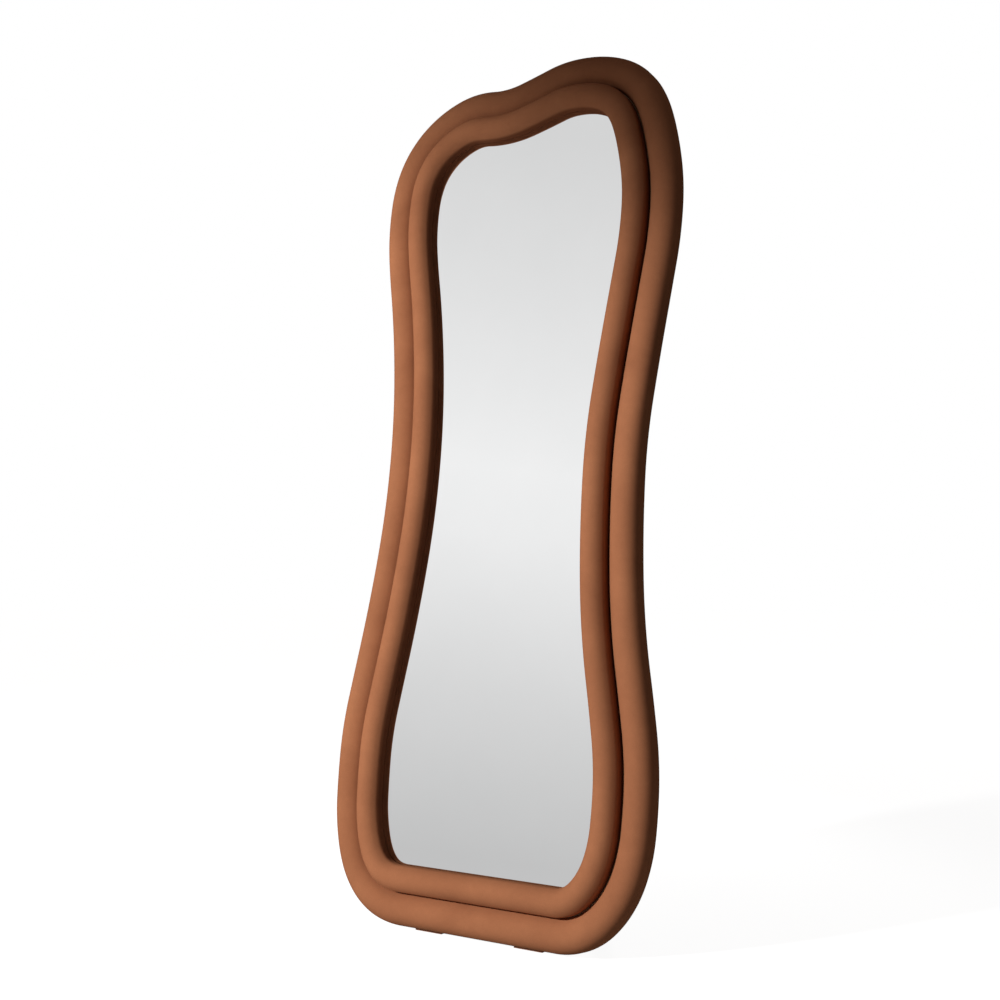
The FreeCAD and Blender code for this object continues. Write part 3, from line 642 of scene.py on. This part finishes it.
def mirror():
    look = Look("mirror")
    haze = look.noise(5, 4, 0.6)
    look.colour(look.ramp(haze, (0.3, (0.925, 0.93, 0.932)), (0.7, (0.945, 0.948, 0.95))))
    look.roughness(haze, 0.004, 0.016)
    look.set(Metallic=1.0)
    return look.mat


def film():
    look = Look("film")
    weave = look.cells(350)
    look.colour(look.ramp(weave, (0.1, (0.40, 0.42, 0.45)), (0.5, (0.55, 0.57, 0.60))))
    look.roughness(look.noise(60), 0.4, 0.6)
    look.bump((weave, 0.2, 0.0002))
    return look.mat


def rubber(name, dark, light, dusty):
    look = Look(name)
    grain = look.noise(900, 3, 0.6)
    dust = look.noise(45, 5, 0.65)
    tone = look.ramp(grain, (0.3, dark), (0.7, light))
    look.colour(look.mix(look.ramp(dust, (0.5, 0.0), (0.8, 0.35)), tone, (*dusty, 1)))
    look.roughness(dust, 0.62, 0.85)
    look.bump((grain, 0.25, 0.0003))
    return look.mat


def nylon():
    look = Look("nylon")
    flow = look.noise(160, 3)
    look.colour(look.ramp(flow, (0.3, (0.72, 0.69, 0.61)), (0.7, (0.82, 0.80, 0.73))))
    look.roughness(flow, 0.35, 0.5)
    look.set(Subsurface_Weight=0.1)
    look.bump((flow, 0.1, 0.0002))
    return look.mat


def black_steel():
    look = Look("black_steel")
    peel = look.noise(750, 2, 0.5)
    scuff = look.noise(30, 6, 0.7, look.stretched((1, 1, 0.35)), 1.2)
    tone = look.ramp(peel, (0.3, (0.013, 0.013, 0.014)), (0.7, (0.022, 0.022, 0.023)))
    look.colour(look.mix(look.ramp(scuff, (0.62, 0.0), (0.8, 0.5)), tone, (0.10, 0.10, 0.10, 1)))
    look.roughness(scuff, 0.36, 0.6)
    look.bump((peel, 0.35, 0.0002))
    return look.mat


def zinc():
    look = Look("zinc")
    spangle = look.noise(240, 3, 0.55)
    drawn = look.noise(420, 3, 0.6, look.stretched((1, 1, 0.08)))
    tone = look.ramp(spangle, (0.3, (0.56, 0.57, 0.58)), (0.5, (0.66, 0.66, 0.65)),
                     (0.7, (0.72, 0.70, 0.63)))
    look.colour(look.mix(0.3, tone, look.ramp(drawn, (0.3, 0.75), (0.7, 1.0)), "MULTIPLY"))
    look.roughness(drawn, 0.22, 0.42)
    look.set(Metallic=1.0)
    look.bump((drawn, 0.12, 0.0002))
    return look.mat


looks = {
    "velvet": velvet(),
    "foam": foam(),
    "plywood": plywood(),
    "black_board": black_board(),
    "mirror": mirror(),
    "film": film(),
    "nylon": nylon(),
    "rubber": rubber("rubber", (0.018, 0.018, 0.018), (0.032, 0.031, 0.030), (0.12, 0.115, 0.105)),
    "brown_rubber": rubber("brown_rubber", (0.24, 0.092, 0.046), (0.30, 0.118, 0.060),
                           (0.33, 0.16, 0.10)),
    "black_steel": black_steel(),
    "zinc": zinc(),
}


def dress(obj, slot):
    obj.data.materials.clear()
    obj.data.materials.append(looks[slot])


for part in frame["record"]["subparts"]:
    dress(frame["nodes"][part["node"]], part["material_slot"])
for node in ("foot_pad_left", "foot_pad_right"):
    dress(frame["nodes"][node], "brown_rubber")

# Soft pieces: look, solid that each stands for, and the share of its space that it fills
soft = (
    (outer_bead, "velvet", "outer_velvet_cover", 0.95),
    (inner_bead, "velvet", "inner_velvet_cover", 0.95),
    (outer_foam, "foam", "outer_foam", 0.9),
    (inner_foam, "foam", "inner_foam", 0.9),
    (backing, "foam", "backing_foam", 0.9),
)
for obj, slot, node, fill in soft:
    dress(obj, slot)
    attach(obj, "mirror")
    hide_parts(node)


# Math in a node tree
def math_node(tree, kind, *values):
    """Output of a math node; each value is a socket or a number."""
    node = tree.nodes.new("ShaderNodeMath")
    node.operation = kind
    for value, socket in zip(values, node.inputs):
        if isinstance(value, bpy.types.NodeSocket):
            tree.links.new(value, socket)
        else:
            socket.default_value = value
    return node.outputs[0]


def mirrored_rays(tree, path):
    return math_node(tree, "MAXIMUM", path["Is Glossy Ray"], path["Is Transmission Ray"])


# Floor: pale, seen as white where no shadow falls
def floor_plane():
    half = FLOOR_HALF
    points = np.array([(-half, -half, 0), (half, -half, 0), (half, half, 0), (-half, half, 0)])
    obj = add_mesh("floor", points, [(0, 1, 2, 3)])
    mat = bpy.data.materials.new("floor")
    mat.use_nodes = True
    tree = mat.node_tree
    nodes = tree.nodes
    links = tree.links
    nodes.clear()
    out = nodes.new("ShaderNodeOutputMaterial")
    paper = nodes.new("ShaderNodeBsdfDiffuse")
    glow = nodes.new("ShaderNodeEmission")
    coords = nodes.new("ShaderNodeTexCoord")
    path = nodes.new("ShaderNodeLightPath").outputs
    away = nodes.new("ShaderNodeVectorMath")
    away.operation = "LENGTH"
    links.new(coords.outputs["Object"], away.inputs[0])
    white = nodes.new("ShaderNodeMapRange")
    for key, value in FLOOR_WHITE.items():
        white.inputs[key].default_value = value
    links.new(away.outputs["Value"], white.inputs["Value"])
    seen = math_node(tree, "MULTIPLY", path["Is Camera Ray"], white.outputs["Result"])
    mirrored = mirrored_rays(tree, path)
    lit = math_node(tree, "MULTIPLY_ADD", mirrored, -FLOOR_PALE, FLOOR_PALE)
    links.new(lit, paper.inputs["Color"])
    strength = math_node(tree, "MULTIPLY_ADD", mirrored, FLOOR_IN_GLASS, seen)
    links.new(strength, glow.inputs["Strength"])
    both = nodes.new("ShaderNodeAddShader")
    links.new(paper.outputs[0], both.inputs[0])
    links.new(glow.outputs[0], both.inputs[1])
    links.new(both.outputs[0], out.inputs["Surface"])
    obj.data.materials.append(mat)
    return obj


floor_plane()


# World: white behind the object, a grey room in the glass, a little light from all round
def world():
    studio = bpy.data.worlds.new("studio")
    bpy.context.scene.world = studio
    studio.use_nodes = True
    tree = studio.node_tree
    nodes = tree.nodes
    links = tree.links
    nodes.clear()
    out = nodes.new("ShaderNodeOutputWorld")
    path = nodes.new("ShaderNodeLightPath").outputs
    coords = nodes.new("ShaderNodeTexCoord")
    split = nodes.new("ShaderNodeSeparateXYZ")
    room = nodes.new("ShaderNodeValToRGB")
    links.new(coords.outputs["Generated"], split.inputs[0])
    links.new(split.outputs["Z"], room.inputs["Fac"])
    ramp = room.color_ramp
    while len(ramp.elements) < len(ROOM_STOPS):
        ramp.elements.new(1.0)
    for element, (place, grey) in zip(ramp.elements, ROOM_STOPS):
        element.position = place
        element.color = (grey, grey, grey, 1)
    around = nodes.new("ShaderNodeBackground")
    around.inputs["Color"].default_value = AMBIENT_TINT
    unlit = math_node(tree, "MULTIPLY_ADD", path["Is Glossy Ray"], -AMBIENT, AMBIENT)
    links.new(unlit, around.inputs["Strength"])
    white = nodes.new("ShaderNodeBackground")
    white.inputs["Color"].default_value = (1, 1, 1, 1)
    reflected = nodes.new("ShaderNodeBackground")
    links.new(room.outputs["Color"], reflected.inputs["Color"])
    direct = math_node(tree, "LESS_THAN", path["Diffuse Depth"], 0.5)
    in_glass = math_node(tree, "MULTIPLY", mirrored_rays(tree, path), direct)
    inner = nodes.new("ShaderNodeMixShader")
    links.new(in_glass, inner.inputs[0])
    links.new(around.outputs[0], inner.inputs[1])
    links.new(reflected.outputs[0], inner.inputs[2])
    outer = nodes.new("ShaderNodeMixShader")
    links.new(path["Is Camera Ray"], outer.inputs[0])
    links.new(inner.outputs[0], outer.inputs[1])
    links.new(white.outputs[0], outer.inputs[2])
    links.new(outer.outputs[0], out.inputs["Surface"])


world()


# Lamps
def spot(name, place, aim, cone_deg, blend, radius, watts):
    light = bpy.data.lights.new(name, "SPOT")
    light.spot_size = math.radians(cone_deg)
    light.spot_blend = blend
    light.shadow_soft_size = radius
    light.energy = watts
    obj = bpy.data.objects.new(name, light)
    obj.location = place
    obj.rotation_euler = (Vector(aim) - Vector(place)).to_track_quat("-Z", "Y").to_euler()
    obj.visible_glossy = False
    bpy.context.collection.objects.link(obj)


spot("key", KEY_AT, KEY_AIM, KEY_CONE, KEY_BLEND, KEY_RADIUS, KEY_WATTS)
spot("back_lamp", BACK_LAMP_AT, BACK_LAMP_AIM, BACK_LAMP_CONE, BACK_LAMP_BLEND, BACK_LAMP_RADIUS,
     BACK_LAMP_WATTS)


# Camera
def camera():
    data = bpy.data.cameras.new("camera")
    data.sensor_width = CAMERA_SENSOR
    data.lens = CAMERA_LENS
    obj = bpy.data.objects.new("camera", data)
    turn = Matrix.Rotation(math.radians(CAMERA_TURN), 4, "Z")
    tilt = Matrix.Rotation(math.radians(90 + CAMERA_TILT), 4, "X")
    obj.matrix_world = Matrix.Translation(CAMERA_AT) @ turn @ tilt
    bpy.context.collection.objects.link(obj)
    bpy.context.scene.camera = obj


camera()
bpy.context.scene.view_settings.view_transform = "Standard"
